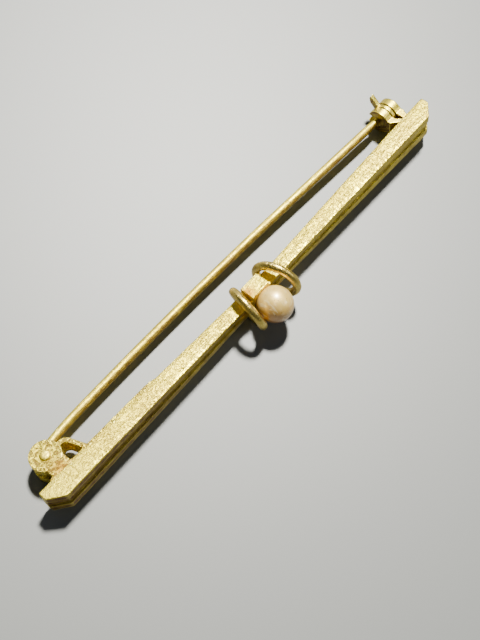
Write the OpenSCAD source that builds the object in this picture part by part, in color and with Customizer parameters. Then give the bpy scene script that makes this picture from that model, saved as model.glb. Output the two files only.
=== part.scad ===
// Antique gold bar brooch with one pearl between two wire rings, a riveted pin
// and a turning safety catch. Millimetres.
// The shapes are drawn with the bar along X, the wearer's side at +Y, the pearl
// at -Y and one long side up (+Z). lying() then leans the brooch back as it
// rests by itself on a table, on a ring and on the hinge.

/* [Bar] */
// Length of the bar
bar_l = 50; // [40:1:60]
// Depth behind the middle line at the ends
end_back = 0.98; // [0.8:0.01:1.2]
// Depth in front of the middle line at the ends
end_front = 0.92; // [0.8:0.01:1.2]
// Height of the bar at its ends
end_h = 2.6; // [2.3:0.05:3]
// Depth behind the middle line at the necks, beside the rings
neck_back = 0.58; // [0.5:0.01:0.75]
// Depth in front of the middle line at the necks
neck_front = 0.76; // [0.65:0.01:0.9]
// Height of the bar at the necks
neck_h = 1.6; // [1.3:0.05:2]
// Distance from the middle at which the bar starts to grow
neck_x = 3; // [2.5:0.1:4]
// How soon the bar fills out: 1 is a straight taper
taper_bend = 1.3; // [1:0.05:2]
// Length of the slanted corner at each front end
corner_l = 1.36; // [1:0.02:1.6]
// Depth of the square part left at each end
corner_d = 0.82; // [0.5:0.02:1.2]
// Depth of the groove along the front
groove_d = 0.16; // [0.1:0.01:0.25]
// Share of the bar's height that the groove takes
groove_share = 0.34; // [0.25:0.01:0.45]

/* [Middle] */
// Length of the block beside the hinge-side ring
block_l = 2.05; // [1.9:0.05:2.2]
// Distance from the middle of the bar to the block's middle, towards the hinge
block_x = 0.36; // [0.3:0.02:0.4]
// Height of the block
block_h = 2.8; // [2.2:0.1:2.9]
// Depth of the block behind the middle line
block_back = 0.62; // [0.6:0.02:0.9]
// Depth of the block in front of the middle line
block_front = 0.82; // [0.7:0.02:1]
// Distance of each ring from the middle
ring_x = 1.88; // [1.7:0.02:2.2]
// How far the rings stand in front of the middle line
ring_front = 0.55; // [0.3:0.05:0.7]
// Radius of a ring to the middle of its wire
ring_r = 1.925; // [1.85:0.005:2]
// Radius of the ring wire
wire_r = 0.405; // [0.35:0.005:0.45]
// Turn of the hinge-side ring, which opens towards the front
ring_turn_a = -12; // [-18:1:-5]
// Lean of the hinge-side ring
ring_lean_a = 14; // [0:1:16]
// Turn of the catch-side ring, which opens towards the front
ring_turn_b = 17; // [5:1:20]
// Lean of the catch-side ring
ring_lean_b = 1; // [0:1:10]
// Radius of the drop of solder that holds the catch-side ring to the bar
solder_r = 0.28; // [0.26:0.01:0.32]

/* [Pearl] */
// Radius of the pearl
pearl_r = 1.66; // [1.4:0.01:1.7]
// Distance of the pearl's centre in front of the middle line
pearl_front = 2.08; // [1.98:0.02:2.3]
// Distance from the middle to the pearl's centre, towards the hinge
pearl_off = 0.12; // [0:0.02:0.16]
// Radius of the peg that holds the pearl
peg_r = 0.35; // [0.25:0.01:0.4]
// Gap round the pearl in its seat, and round the peg
seat_gap = 0.03; // [0.02:0.01:0.05]

/* [Hinge] */
// Distance of the rivet from the middle of the bar
hinge_x = 22.45; // [21.5:0.05:23]
// Distance of the rivet behind the middle line
hinge_y = 2.87; // [2.7:0.01:3.1]
// Radius of the round cheeks
cheek_r = 1.38; // [1.3:0.01:1.5]
// Height from the middle plane to a cheek's outer face
cheek_out = 1.2; // [1.1:0.05:1.3]
// Height from the middle plane to a cheek's inner face
cheek_in = 0.46; // [0.44:0.01:0.5]
// Half width of the cheeks' necks
cheek_neck = 0.82; // [0.7:0.01:0.9]
// How far the cheeks' foot spreads along the bar on each side
foot_l = 0.42; // [0.3:0.02:0.5]
// Height of that foot where it meets the neck
foot_h = 0.2; // [0.12:0.02:0.5]
// Radius of the rivet's shaft
rivet_r = 0.27; // [0.22:0.01:0.3]
// Radius of the rivet's heads
rivet_head_r = 0.48; // [0.38:0.01:0.5]
// Height of the rivet's heads
rivet_head_h = 0.22; // [0.15:0.01:0.3]
// Height of the strip soldered to the back of the bar
strip_h = 1.8; // [1:0.1:2]
// Thickness of that strip
strip_t = 0.22; // [0.1:0.01:0.3]
// Distance from the middle at which the strip ends
strip_end = 12; // [10:0.5:16]
// Thickness of the bent stop beside the hinge
stop_t = 0.42; // [0.3:0.01:0.45]
// Outer radius of the stop's upper bend
stop_r = 0.88; // [0.8:0.01:0.9]
// Distance along the bar from the rivet to the middle of that bend
stop_along = 1.55; // [1.5:0.01:1.6]
// How much nearer to the bar that middle lies than the rivet
stop_down = 0.62; // [0.58:0.01:0.65]
// Slant of the stop where it runs down to the bar
stop_slant = 20; // [17:1:24]
// Outer radius of the stop's lower bend, beside the cheeks' neck
stop_foot_r = 0.42; // [0.35:0.01:0.45]
// Thickness of the stop at that bend
stop_foot_t = 0.26; // [0.2:0.01:0.3]

/* [Pin] */
// Radius of the pin wire
pin_r = 0.4; // [0.34:0.01:0.42]
// Radius of the pin's knuckle
knuckle_r = 0.95; // [0.85:0.01:1]
// Half height of the pin's knuckle
knuckle_h = 0.42; // [0.4:0.01:0.43]
// Distance from the middle at which the sharp bend beside the knuckle ends
knee_x = 21; // [20.9:0.05:21.1]
// Radius of that sharp bend
knee_r = 1.1; // [1:0.05:1.2]
// Distance from the middle at which the wire has eased into its bow
ease_x = 18; // [17:0.2:19]
// Distance of the wire behind the middle line at that place
ease_y = 4.13; // [4.08:0.01:4.18]
// Distance on the other side of the middle at which the bow ends
bow_x = 8; // [6:0.5:9]
// Slope of the wire where it leaves the knuckle
slope_root = 50; // [46:1:54]
// Slope of the wire after the sharp bend
slope_knee = 6.4; // [6:0.1:7]
// Slope of the wire where its bow starts
slope_ease = 1; // [0.8:0.1:1.2]
// Slope of the wire where its bow ends
slope_tip = 2.55; // [2.45:0.05:2.65]
// Distance from the middle at which the pin starts to thin
thin_x = 19.5; // [18:0.1:20]
// Distance of the pin's point from the middle
tip_x = 22.9; // [22.7:0.05:23]

/* [Catch] */
// Distance of the catch's axis behind the middle line
catch_y = 2.97; // [2.94:0.01:3.1]
// Radius of the catch's round cheeks
catch_r = 1.22; // [1.18:0.01:1.26]
// Distance from the middle to the front cheek's outer face
catch_x = 21.18; // [21:0.02:21.3]
// Thickness of each cheek
catch_t = 0.78; // [0.7:0.02:0.8]
// Room between the two cheeks
catch_room = 0.54; // [0.5:0.01:0.6]
// Height of the cheeks' necks
catch_neck_h = 1.5; // [1.2:0.05:1.8]
// Width of each neck along the bar where it stands on the bar
catch_foot = 0.5; // [0.4:0.02:0.6]
// Room under the collar before the necks bend together
neck_room = 0.1; // [0.06:0.02:0.2]
// Half width of the slots in the cheeks that let the pin in
slot_w = 0.36; // [0.34:0.01:0.4]
// How far those slots reach past the catch's axis
slot_deep = 0.14; // [0.12:0.01:0.2]
// Radius of the turning collar
collar_r = 1.18; // [1.1:0.01:1.2]
// Half width of the slot in the collar and its hubs
collar_slot = 0.33; // [0.32:0.01:0.35]
// Distance of the pin from the catch's axis, behind it
pin_off = 0.22; // [0.2:0.01:0.24]
// Turn of the collar between open and locked
collar_turn = 95; // [90:1:100]
// Radius of the collar's hubs in the cheeks
hub_r = 0.86; // [0.82:0.01:0.88]
// Radial and end play of the hubs
collar_play = 0.05; // [0.03:0.01:0.06]
// Gap between the collar and each cheek
collar_gap = 0.09; // [0.05:0.01:0.1]
// Thickness of the cheeks' outer walls, which cover the hubs
cover_t = 0.2; // [0.16:0.02:0.3]
// Angle at which the thumb lever stands up from the wearer's side
lever_a = 45; // [40:1:46]
// Reach of the thumb lever from the catch's axis
lever_l = 2.36; // [2.1:0.02:2.4]
// Thickness of the thumb lever
lever_t = 0.56; // [0.4:0.02:0.6]
// Width of the thumb lever along the bar
lever_w = 0.44; // [0.36:0.02:0.44]
// Length over which the lever's underside is cut away towards its tip
lever_nose = 0.55; // [0.4:0.05:0.7]

/* [Hidden] */
$fn = 64;
gold = [0.86, 0.68, 0.36];
half_l = bar_l / 2;
steps = 8;
sunk = 0.1;
through = 4;
foot_t = 0.08;
solder_out = 0.1;
strip_start = hinge_x + cheek_neck + foot_l;
strip_thin = 0.3;
stop_x = hinge_x - stop_along;
stop_y = hinge_y - stop_down;
knuckle_room = 0.08;
collar_x = catch_x + catch_t + collar_gap;
collar_w = catch_room - 2 * collar_gap;
catch_end = catch_x + 2 * catch_t + catch_room;
lever_top = 0.03;
lever_tip = 0.3;
lever_cut = 0.1;
rivet_play = 0.01;
pin_play = 0.03;
point_l = 1;
thin_end_r = 0.24;
point_r = 0.05;
bend_steps = 16;
lap = 0.005;
lap_l = 0.06;

// The lever's side in the drawing of the catch from its end, about its axis
lever_side = [
    for (p = [
        [collar_r - 2 * sunk, lever_top],
        [lever_l, lever_top],
        [lever_l - lever_cut, lever_top - lever_tip],
        [lever_l - lever_nose, lever_top - lever_t],
        [collar_r - 2 * sunk, lever_top - lever_t]
    ]) [p[0] * cos(lever_a) - p[1] * sin(lever_a), p[0] * sin(lever_a) + p[1] * cos(lever_a)]
];

// The lean at which the ring and the hinge both touch the table
reach_back = hinge_y + cheek_r + ring_front;
ring_out = ring_r + wire_r;
lie_lean = asin(ring_out / norm([reach_back, cheek_out])) - atan2(cheek_out, reach_back);
lie_z = ring_out - ring_front * sin(lie_lean);
// Shift that brings the middle of the depth over the origin
front_edge = -pearl_front * cos(lie_lean) - pearl_r;
back_edge = max([for (p = lever_side) (catch_y + p[0]) * cos(lie_lean) + p[1] * sin(lie_lean)]);
lie_y = -(front_edge + back_edge) / 2;

// Share of full size that the bar has at x, from 0 at a neck to 1 at an end
function along(x) = max(0, (abs(x) - neck_x) / (half_l - neck_x));
function fill(x) = 1 - pow(1 - along(x), taper_bend);
function back_y(x) = neck_back + (end_back - neck_back) * fill(x);
function front_y(x) = -neck_front - (end_front - neck_front) * fill(x);
function half_h(x) = (neck_h + (end_h - neck_h) * fill(x)) / 2;

// Places along the bar from x = -reach to x = reach, with a step at each neck
function places(reach) = concat(
    [for (i = [0:steps]) -reach + i * (reach - neck_x) / steps],
    [for (i = [0:steps]) neck_x + i * (reach - neck_x) / steps]
);
function turned(list) = [for (i = [len(list) - 1:-1:0]) list[i]];

// Points on an arc about c, from angle a to angle b
function arc(c, r, a, b, n = 16) = [
    for (i = [0:n]) c + r * [cos(a + (b - a) * i / n), sin(a + (b - a) * i / n)]
];

function after_first(list) = [for (i = [1:len(list) - 1]) list[i]];

// The bar from its long side, with the front and the slanted corners set in
module bar_plan(set_in = 0) {
    slant = atan2(end_back + end_front - corner_d, corner_l);
    cut = set_in / sin(slant) - set_in / tan(slant);
    corner_x = half_l - corner_l - cut;
    edge_y = end_back - corner_d + set_in / cos(slant);
    back = [for (x = places(half_l)) [x, back_y(x)]];
    front = [for (x = places(corner_x)) [x, front_y(x) + set_in]];
    polygon(concat(back, [[half_l, edge_y]], turned(front), [[-half_l, edge_y]]));
}

// The bar from the front, at a share of its height
module bar_front(share = 1) {
    upper = [for (x = places(half_l)) [x, share * half_h(x)]];
    lower = [for (x = places(half_l)) [x, -share * half_h(x)]];
    polygon(concat(upper, turned(lower)));
}

module upright(depth) {
    translate([0, depth / 2, 0])
        rotate([90, 0, 0])
            linear_extrude(depth) children();
}

module bar() {
    difference() {
        intersection() {
            linear_extrude(2 * end_h, center = true) bar_plan();
            upright(4 * end_back) bar_front();
        }
        difference() {
            translate([0, -end_front, 0])
                intersection() {
                    cube([2 * bar_l, end_back + end_front, end_h], center = true);
                    upright(4 * end_back) bar_front(groove_share);
                }
            linear_extrude(2 * end_h, center = true) bar_plan(groove_d);
        }
    }
}

module block() {
    translate([-block_x - block_l / 2, -block_front, -block_h / 2])
        cube([block_l, block_back + block_front, block_h]);
}

module ring(x, turn, lean) {
    translate([x, -ring_front, 0])
        rotate([0, -lean, turn])
            rotate([0, 90, 0])
                rotate_extrude()
                    translate([ring_r, 0]) circle(wire_r, $fn = 32);
}

// Drop of solder between the bar's lower back edge and the catch-side ring
module ring_solder() {
    y = neck_back + solder_out;
    translate([ring_x - (y + ring_front) * tan(ring_turn_b), y, -neck_h / 2 - solder_out])
        sphere(solder_r, $fn = 32);
}

module peg() {
    translate([-pearl_off, -pearl_front - peg_r, 0])
        rotate([-90, 0, 0])
            cylinder(h = pearl_front + peg_r - sunk, r = peg_r);
}

module cheek(z) {
    translate([-hinge_x, hinge_y, z])
        cylinder(h = cheek_out - cheek_in, r = cheek_r);
    foot_y = back_y(hinge_x);
    half = [
        [cheek_neck, hinge_y],
        [cheek_neck, foot_y + foot_h],
        [cheek_neck + foot_l, foot_y + foot_t],
        [cheek_neck + foot_l, foot_y - sunk]
    ];
    translate([-hinge_x, 0, z])
        linear_extrude(cheek_out - cheek_in)
            polygon(concat(half, [for (p = turned(half)) [-p[0], p[1]]]));
}

module hinge_seat() {
    difference() {
        union() {
            cheek(cheek_in);
            cheek(-cheek_out);
        }
        translate([-hinge_x, hinge_y, 0])
            cylinder(h = through, r = rivet_r + rivet_play, center = true);
    }
}

// Strip soldered along the back of the bar, thinned away at its far end
module strip() {
    xs = [for (i = [0:steps]) -strip_start + i * (strip_start - strip_end) / steps];
    outer = [for (x = xs) [x, back_y(x) + strip_t * min(1, strip_thin - x - strip_end)]];
    inner = [for (x = xs) [x, back_y(x) - sunk]];
    linear_extrude(strip_h, center = true) polygon(concat(outer, turned(inner)));
}

// Outline of a loop that is round above and beside the neck, and pointed at the bar
function loop(top_r, foot, foot_r, low_y) =
    let (c = [-stop_x, stop_y])
    let (last = c + top_r * [cos(stop_slant), sin(stop_slant)])
    concat(
        [[last[0] + (last[1] - low_y) * tan(stop_slant), low_y]],
        arc(c, top_r, stop_slant, 170),
        arc(foot, foot_r, 180, 270, 8),
        [[foot[0], low_y]]
    );

// Bent stop beside the cheeks, a band closed round a teardrop opening
module pin_stop() {
    bar_y = back_y(stop_x);
    foot = [-hinge_x + cheek_neck + stop_foot_r, bar_y + stop_foot_r];
    opening = [foot[0] + stop_foot_t - stop_foot_r / 2, bar_y + strip_t + stop_foot_r / 2];
    linear_extrude(strip_h, center = true)
        difference() {
            polygon(loop(stop_r, foot, stop_foot_r, bar_y - sunk));
            polygon(loop(stop_r - stop_t, opening, stop_foot_r / 2, opening[1] - stop_foot_r / 2));
        }
}

// One cheek of the catch: a round plate, and its neck that leans to foot_x
module catch_cheek(x, foot_x) {
    translate([x, catch_y, 0])
        rotate([0, 90, 0])
            cylinder(h = catch_t, r = catch_r);
    bend_line = catch_y - collar_r - neck_room;
    foot_y = back_y(catch_x) - sunk;
    linear_extrude(catch_neck_h, center = true)
        polygon([
            [x, catch_y - hub_r],
            [x, bend_line],
            [foot_x, foot_y],
            [foot_x + catch_foot, foot_y],
            [x + catch_t, bend_line],
            [x + catch_t, catch_y - hub_r]
        ]);
}

// Way for the pin through the collar: a slot, and room for the pin as the collar turns
module pin_way() {
    near = acos(pin_off * sin(collar_turn / 2) / collar_slot);
    room = pin_off + collar_slot;
    end = pin_off * [cos(collar_turn), -sin(collar_turn)];
    polygon(concat(
        [[2 * collar_r, -collar_slot], [2 * collar_r, collar_slot]],
        arc([pin_off, 0], collar_slot, 90, 270 - collar_turn / 2 - near),
        after_first(arc(end, collar_slot, 90 - collar_turn / 2 + near, 360 - collar_turn)),
        after_first(arc([0, 0], room, -collar_turn, -asin(collar_slot / room)))
    ));
}

module catch_seat() {
    rear_x = catch_end - catch_t;
    difference() {
        union() {
            catch_cheek(catch_x, rear_x - catch_foot + sunk);
            catch_cheek(rear_x, rear_x - sunk);
        }
        translate([catch_x + cover_t, catch_y, 0])
            rotate([0, 90, 0])
                cylinder(h = catch_end - catch_x - 2 * cover_t, r = hub_r + collar_play);
        translate([catch_x - 1, catch_y - slot_deep, -slot_w])
            cube([through, 2 * catch_r, 2 * slot_w]);
    }
}

module lying() {
    translate([0, lie_y, lie_z])
        rotate([-lie_lean, 0, 0]) children();
}

// All the soldered gold: bar, block, rings, hinge cheeks, strip, stop and catch cheeks
module frame() {
    color(gold)
        lying() {
            difference() {
                union() {
                    bar();
                    block();
                    ring(-ring_x, ring_turn_a, ring_lean_a);
                    ring(ring_x, ring_turn_b, ring_lean_b);
                    ring_solder();
                    hinge_seat();
                    strip();
                    pin_stop();
                    catch_seat();
                }
                translate([-pearl_off, -pearl_front, 0]) sphere(pearl_r + seat_gap);
                translate([-hinge_x, hinge_y, -cheek_in])
                    cylinder(h = 2 * cheek_in, r = knuckle_r + knuckle_room);
            }
            peg();
        }
}

module pearl() {
    color([0.93, 0.85, 0.7])
        lying()
            difference() {
                translate([-pearl_off, -pearl_front, 0]) sphere(pearl_r);
                translate([-pearl_off, -pearl_front - peg_r - seat_gap, 0])
                    rotate([-90, 0, 0])
                        cylinder(h = 2 * pearl_r, r = peg_r + seat_gap);
            }
}

// The middle of a bend of radius r that has this slope at a point
function under(point, r, slope) = point + r * [sin(slope), -cos(slope)];

// A stretch of pin wire bent to radius r about c, from slope a down to slope b
module bent_wire(c, r, a, b, thick) {
    translate([c[0], c[1], 0])
        rotate([0, 0, 90 + b])
            rotate_extrude(angle = a - b, $fn = ceil(bend_steps * 360 / (a - b)))
                translate([r, 0]) circle(thick, $fn = 32);
}

// The root of the wire in the knuckle, its sharp bend and its ease into the bow
module pin_root(ease) {
    ease_r = (knee_x - ease_x) / (sin(slope_knee) - sin(slope_ease));
    knee = ease - ease_r * [sin(slope_knee) - sin(slope_ease), cos(slope_ease) - cos(slope_knee)];
    start = knee - knee_r * [sin(slope_root) - sin(slope_knee), cos(slope_knee) - cos(slope_root)];
    root_l = norm(start - [-hinge_x, hinge_y]);
    lap_a = 180 * lap_l / PI / ease_r;
    difference() {
        union() {
            translate([-hinge_x, hinge_y, -knuckle_h])
                cylinder(h = 2 * knuckle_h, r = knuckle_r);
            translate([start[0], start[1], 0])
                rotate([0, 0, slope_root])
                    rotate([0, 90, 0])
                        translate([0, 0, -root_l]) cylinder(h = root_l + lap_l, r = pin_r - lap);
        }
        translate([-hinge_x, hinge_y, 0])
            cylinder(h = through, r = rivet_r + pin_play, center = true);
    }
    bent_wire(under(knee, knee_r, slope_knee), knee_r, slope_root, slope_knee, pin_r);
    bent_wire(under(ease, ease_r, slope_ease), ease_r, slope_knee + lap_a, slope_ease - lap_a, pin_r - lap);
}

module pin() {
    ease = [-ease_x, ease_y];
    bow_r = (ease_x + bow_x) / (sin(slope_ease) + sin(slope_tip));
    end = ease + [ease_x + bow_x, bow_r * (cos(slope_tip) - cos(slope_ease))];
    thin = (thin_x - bow_x) / cos(slope_tip);
    tip = (tip_x - bow_x) / cos(slope_tip);
    color([0.9, 0.75, 0.42])
        lying() {
            pin_root(ease);
            bent_wire(under(ease, bow_r, slope_ease), bow_r, slope_ease, -slope_tip, pin_r);
            translate([end[0], end[1], 0])
                rotate([0, 0, -slope_tip])
                    rotate([0, 90, 0])
                        rotate_extrude()
                            polygon([
                                [0, -sunk],
                                [pin_r - lap, -sunk],
                                [pin_r - lap, thin],
                                [thin_end_r, tip - point_l],
                                [point_r, tip],
                                [0, tip]
                            ]);
        }
}

module rivet_head() {
    cap_r = (pow(rivet_head_r, 2) + pow(rivet_head_h, 2)) / (2 * rivet_head_h);
    translate([0, 0, cheek_out + rivet_play])
        intersection() {
            translate([0, 0, rivet_head_h - cap_r]) sphere(cap_r);
            cylinder(h = 2 * rivet_head_h, r = 2 * rivet_head_r);
        }
}

module hinge_rivet() {
    color([0.93, 0.8, 0.5])
        lying()
            translate([-hinge_x, hinge_y, 0]) {
                cylinder(h = 2 * cheek_out + 4 * rivet_play, r = rivet_r, center = true);
                rivet_head();
                mirror([0, 0, 1]) rivet_head();
            }
}

// Slotted collar that turns on two hubs, with its thumb lever
module catch_collar() {
    hub_in = cover_t + collar_play;
    color(gold)
        lying()
            translate([0, catch_y, 0]) {
                difference() {
                    union() {
                        translate([collar_x, 0, 0])
                            rotate([0, 90, 0]) cylinder(h = collar_w, r = collar_r);
                        translate([catch_x + hub_in, 0, 0])
                            rotate([0, 90, 0])
                                cylinder(h = catch_end - catch_x - 2 * hub_in, r = hub_r);
                    }
                    translate([catch_x - 1, 0, 0])
                        rotate([90, 0, 90])
                            linear_extrude(through) pin_way();
                }
                lever();
            }
}

module lever() {
    translate([collar_x + (collar_w - lever_w) / 2, 0, 0])
        rotate([90, 0, 90])
            linear_extrude(lever_w) polygon(lever_side);
}

frame();
pearl();
pin();
hinge_rivet();
catch_collar();
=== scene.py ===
# %% [markdown]
# # A pearl bar brooch
# An old gold brooch lies on its side: a long bar of two tapering arms, a pearl
# in the middle between two wire rings, a hinge with a bowed pin at one end and
# a small turning safety catch at the other. The exact solids of the part are
# loaded first. They give the size and the motion. Every piece below is then
# dressed over them in the same frame, and rides on the body that carries it.

# %% Load the part
from math import acos, asin, atan2, cos, degrees, hypot, pi, radians, sin, sqrt, tan

import bmesh
import bpy
import numpy as np
from mathutils import Euler, Matrix, Vector


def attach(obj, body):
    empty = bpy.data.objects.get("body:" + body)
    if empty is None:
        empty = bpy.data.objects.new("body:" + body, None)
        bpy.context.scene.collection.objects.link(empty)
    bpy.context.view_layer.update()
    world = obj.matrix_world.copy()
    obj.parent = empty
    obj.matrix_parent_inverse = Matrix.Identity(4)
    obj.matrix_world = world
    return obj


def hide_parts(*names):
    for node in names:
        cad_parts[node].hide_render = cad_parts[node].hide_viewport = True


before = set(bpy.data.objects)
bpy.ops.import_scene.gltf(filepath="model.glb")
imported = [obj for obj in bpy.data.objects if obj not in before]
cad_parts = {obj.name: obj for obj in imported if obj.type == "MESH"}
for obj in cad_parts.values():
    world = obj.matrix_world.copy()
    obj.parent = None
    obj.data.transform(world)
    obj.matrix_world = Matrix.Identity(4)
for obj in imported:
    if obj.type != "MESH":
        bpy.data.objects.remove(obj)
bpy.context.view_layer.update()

# %% [markdown]
# The brooch is easiest to draw flat: the bar along X, the wearer's side at +Y,
# one long side up. It doesn't rest that way. It leans back on one ring and on
# the hinge, so every mesh is drawn flat in millimetres and then laid down by
# one matrix, which also turns millimetres into metres.

# %% From the flat drawing to the brooch as it lies
MM = 0.001
RING_R, WIRE_R, RING_FRONT = 1.925, 0.405, 0.55
HINGE_X, HINGE_Y, CHEEK_R, CHEEK_OUT, CHEEK_IN = 22.45, 2.87, 1.38, 1.2, 0.46
PEARL_R, PEARL_FRONT, PEARL_OFF = 1.66, 2.08, 0.12
CATCH_Y, COLLAR_R, SUNK = 2.97, 1.18, 0.1
LEVER_A, LEVER_L, LEVER_T, LEVER_TOP = radians(45), 2.36, 0.56, 0.03
LEVER_TIP, LEVER_CUT, LEVER_NOSE = 0.3, 0.1, 0.55

# the thumb lever's side, with u along it and v across it, from the catch's axis
low = LEVER_TOP - LEVER_T
lever_uv = [(COLLAR_R - 2 * SUNK, LEVER_TOP), (LEVER_L, LEVER_TOP),
            (LEVER_L - LEVER_CUT, LEVER_TOP - LEVER_TIP), (LEVER_L - LEVER_NOSE, low),
            (COLLAR_R - 2 * SUNK, low)]
LEVER_SIDE = [(CATCH_Y + u * cos(LEVER_A) - v * sin(LEVER_A),
               u * sin(LEVER_A) + v * cos(LEVER_A)) for u, v in lever_uv]

back_reach = HINGE_Y + CHEEK_R + RING_FRONT
ring_out = RING_R + WIRE_R
LEAN = asin(ring_out / hypot(back_reach, CHEEK_OUT)) - atan2(CHEEK_OUT, back_reach)
LIE_Z = ring_out - RING_FRONT * sin(LEAN)
front_edge = -PEARL_FRONT * cos(LEAN) - PEARL_R
back_edge = max(y * cos(LEAN) + z * sin(LEAN) for y, z in LEVER_SIDE)
LIE_Y = -(front_edge + back_edge) / 2
LAY_DOWN = (
    Matrix.Scale(MM, 4)
    @ Matrix.Translation((0, LIE_Y, LIE_Z))
    @ Matrix.Rotation(-LEAN, 4, "X")
)
print("the brooch leans back by", round(degrees(LEAN), 2), "degrees")

# %% [markdown]
# The camera stands above the hinge end and looks down at the brooch, so that
# the bar runs from the lower left to the upper right of the picture.

# %% Camera
camera = bpy.data.objects.new("camera", bpy.data.cameras.new("camera"))
bpy.context.scene.collection.objects.link(camera)
camera.location = Vector((-31.388, -14.7475, 82.003)) * MM
camera.rotation_euler = Euler((radians(20.6228), radians(-5.9763), radians(-49.1284)))
camera.data.lens = 56.74
camera.data.sensor_width = 36
camera.data.clip_start = 0.001
bpy.context.scene.camera = camera
print("camera", round(camera.location.length / MM, 1), "mm from the origin")

# %% [markdown]
# One soft lamp stands high behind the catch end, where it lights the upper
# side of the bar and leaves the front in shade. A large weak lamp low behind
# the pin and a small weak one in front draw the rims of the round parts.

# %% Light and floor
def shade_tree(name):
    """A new node material and its tree, emptied."""
    material = bpy.data.materials.new(name)
    material.use_nodes = True
    tree = material.node_tree
    tree.nodes.clear()
    return material, tree


def node(tree, kind, **settings):
    """A new node in a tree, with its settings."""
    made = tree.nodes.new(kind)
    for key, value in settings.items():
        setattr(made, key, value)
    return made


def soft_lamp(name, towards, distance, size, watts, colour=(1, 1, 1)):
    """A round lamp that looks at the brooch from the direction given."""
    lamp = bpy.data.objects.new(name, bpy.data.lights.new(name, "AREA"))
    lamp.data.shape = "DISK"
    lamp.data.size = size
    lamp.data.energy = watts
    lamp.data.color = colour
    place = Vector(towards).normalized() * distance
    lamp.location = place
    lamp.rotation_euler = place.to_track_quat("Z", "Y").to_euler()
    bpy.context.scene.collection.objects.link(lamp)
    return lamp


soft_lamp("key_lamp", (0.391, 0.292, 0.873), 0.6, 0.07, 13.0, (1.0, 0.98, 0.9))
soft_lamp("rim_lamp", (0.3, 0.9, 0.3), 0.6, 0.4, 0.5, (0.95, 0.97, 1.0))
soft_lamp("front_lamp", (0.546, -0.636, 0.546), 0.6, 0.12, 0.5, (0.95, 0.97, 1.0))
world = bpy.data.worlds.new("studio")
world.use_nodes = True
world.node_tree.nodes["Background"].inputs["Color"].default_value = (0.8, 0.88, 1, 1)
world.node_tree.nodes["Background"].inputs["Strength"].default_value = 0.07
bpy.context.scene.world = world

floor_mesh = bpy.data.meshes.new("floor")
FLOOR = 0.6
floor_mesh.from_pydata(
    [(-FLOOR, -FLOOR, 0), (FLOOR, -FLOOR, 0), (FLOOR, FLOOR, 0), (-FLOOR, FLOOR, 0)],
    [], [(0, 1, 2, 3)],
)
floor = bpy.data.objects.new("floor", floor_mesh)
bpy.context.scene.collection.objects.link(floor)
pale, tree = shade_tree("pale_floor")
shader = node(tree, "ShaderNodeBsdfPrincipled")
shader.inputs["Base Color"].default_value = (0.15, 0.157, 0.154, 1)
shader.inputs["Roughness"].default_value = 0.5
shader.inputs["Specular IOR Level"].default_value = 1.0
out = node(tree, "ShaderNodeOutputMaterial")
tree.links.new(shader.outputs[0], out.inputs[0])
floor_mesh.materials.append(pale)

# %% [markdown]
# Small helpers come next. A tree of nodes, whether it makes a shape or a
# finish, is built from sums, so one helper adds a math node and takes either
# numbers or the sockets of other nodes.

# %% Helpers for node trees
def feed(tree, socket, value):
    """Sets a socket, or links it where the value is another node's socket."""
    if isinstance(value, bpy.types.NodeSocket):
        tree.links.new(value, socket)
    else:
        socket.default_value = value


def maths(tree, operation, *values):
    """One math node; its result socket."""
    made = node(tree, "ShaderNodeMath", operation=operation)
    for socket, value in zip(made.inputs, values):
        feed(tree, socket, value)
    return made.outputs[0]


def between(tree, low, high, share):
    """The value a share of the way from low to high."""
    step = maths(tree, "SUBTRACT", high, low)
    return maths(tree, "MULTIPLY_ADD", step, share, low)


def spread(tree, value, low, high, to_low=0.0, to_high=1.0):
    """A value stretched from one range to another, and kept inside it."""
    made = node(tree, "ShaderNodeMapRange")
    for socket, number in zip(made.inputs, (value, low, high, to_low, to_high)):
        feed(tree, socket, number)
    return made.outputs[0]


def tint(tree, share, first, second, blend="MIX"):
    """Two colours mixed by a share."""
    made = node(tree, "ShaderNodeMix", data_type="RGBA", blend_type=blend)
    feed(tree, made.inputs[0], share)
    feed(tree, made.inputs[6], first)
    feed(tree, made.inputs[7], second)
    return made.outputs[2]


def cloud(tree, where, scale, detail=2.0, rough=0.5):
    """Soft noise between 0 and 1."""
    made = node(tree, "ShaderNodeTexNoise")
    feed(tree, made.inputs["Vector"], where)
    feed(tree, made.inputs["Scale"], scale)
    made.inputs["Detail"].default_value = detail
    made.inputs["Roughness"].default_value = rough
    return made.outputs[0]


def stretched(tree, where, factors):
    """Coordinates scaled by a different factor along each axis."""
    made = node(tree, "ShaderNodeVectorMath", operation="MULTIPLY")
    feed(tree, made.inputs[0], where)
    made.inputs[1].default_value = factors
    return made.outputs[0]


def sockets(tree, inputs, outputs):
    """Gives a group its named sockets; its input and output nodes."""
    for name, kind, value in inputs:
        made = tree.interface.new_socket(name, in_out="INPUT", socket_type=kind)
        if value is not None:
            made.default_value = value
    for name, kind in outputs:
        tree.interface.new_socket(name, in_out="OUTPUT", socket_type=kind)
    return tree.nodes.new("NodeGroupInput"), tree.nodes.new("NodeGroupOutput")


print("helpers ready")

# %% [markdown]
# Old gold is never one colour. The skin of this brooch is pale where it is
# rubbed, olive in its many fine dents, dark in the corners that no cloth
# reaches and pink by the solder, and painted shade darkens faces turned from
# the light. One group of nodes makes all of this, and each gold piece uses it
# with its own amounts. Wear and dirt come from how sharply the surface bends;
# the solder, with a painted warm reflection on the block, and the painted shade
# come from values stored on the mesh.

# %% The skin of old gold
FLOAT, COLOUR = "NodeSocketFloat", "NodeSocketColor"


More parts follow.
